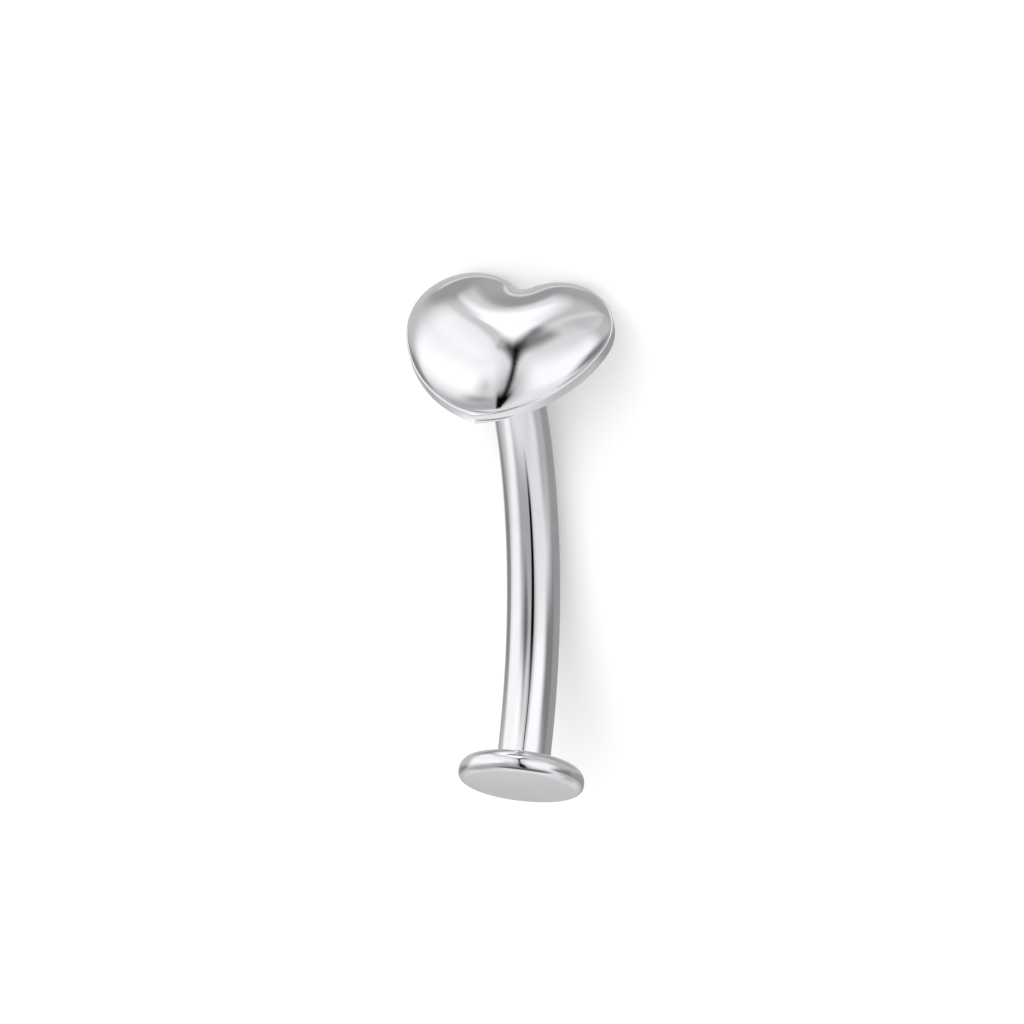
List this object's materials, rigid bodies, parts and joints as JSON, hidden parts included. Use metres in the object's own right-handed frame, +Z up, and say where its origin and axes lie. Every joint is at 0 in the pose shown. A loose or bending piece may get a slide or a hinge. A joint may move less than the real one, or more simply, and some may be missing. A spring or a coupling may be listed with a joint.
{
  "type": "belly button ring",
  "caption": "Curved polished steel bar for a navel piercing, with a flat disc on its lower end and a domed heart that pulls off its upper end.",
  "frame": {"origin": "on the surface that the ring lies on, under the middle of its bounding box", "axes": "+X across the heart, +Y from the heart end to the disc end, +Z up from the surface; the heart's face looks to -Y and up"},
  "size_m": [0.0064, 0.0162, 0.0052],
  "materials": {
    "curved_bar": "mirror-polished surgical steel",
    "heart_end": "mirror-polished surgical steel",
    "post": "plain turned steel"
  },
  "bodies": {
    "root": {"curved_bar": "curved_bar", "heart_end": "heart_end", "post": "post"}
  },
  "joints": []
}
